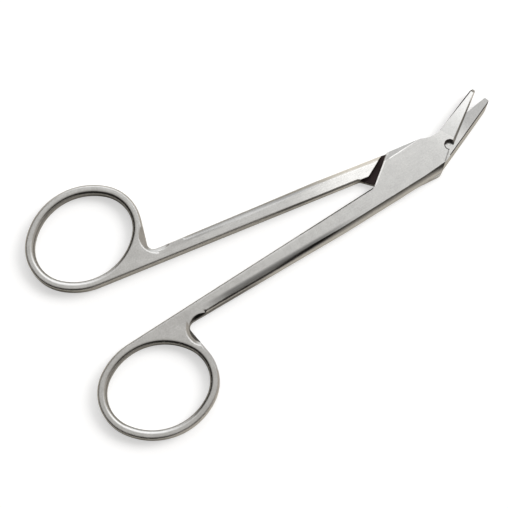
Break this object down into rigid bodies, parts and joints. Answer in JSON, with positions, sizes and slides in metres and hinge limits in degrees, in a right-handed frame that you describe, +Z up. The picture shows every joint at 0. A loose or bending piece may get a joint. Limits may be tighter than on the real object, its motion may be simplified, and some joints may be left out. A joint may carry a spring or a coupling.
{
  "type": "suture scissors",
  "caption": "Steel suture scissors with oval finger rings, slim shanks, a lap joint and short blades that bend to one side, one with a round notch for cutting wire.",
  "frame": {"origin": "on the surface that the scissors lie on, under the middle of their box at the stored opening", "axes": "+X along the middle line between the shanks, from the finger rings towards the blades; +Y to the side that the blades bend to; +Z up, along the pivot, away from the surface"},
  "size_m": [0.1204, 0.067, 0.0034],
  "materials": {
    "satin_steel": "satin ground stainless steel",
    "screw_steel": "fine turned stainless steel"
  },
  "bodies": {
    "bottom_half": {"bottom_half": "satin_steel"},
    "top_half": {"top_half": "satin_steel", "pivot_screw": "screw_steel"}
  },
  "joints": [
    {"name": "blade_pivot", "type": "hinge", "parent": "bottom_half", "child": "top_half", "pos_m": [0.03972, 0, 0], "axis": [0, 0, 1], "range_deg": [-10.6, 110]}
  ]
}
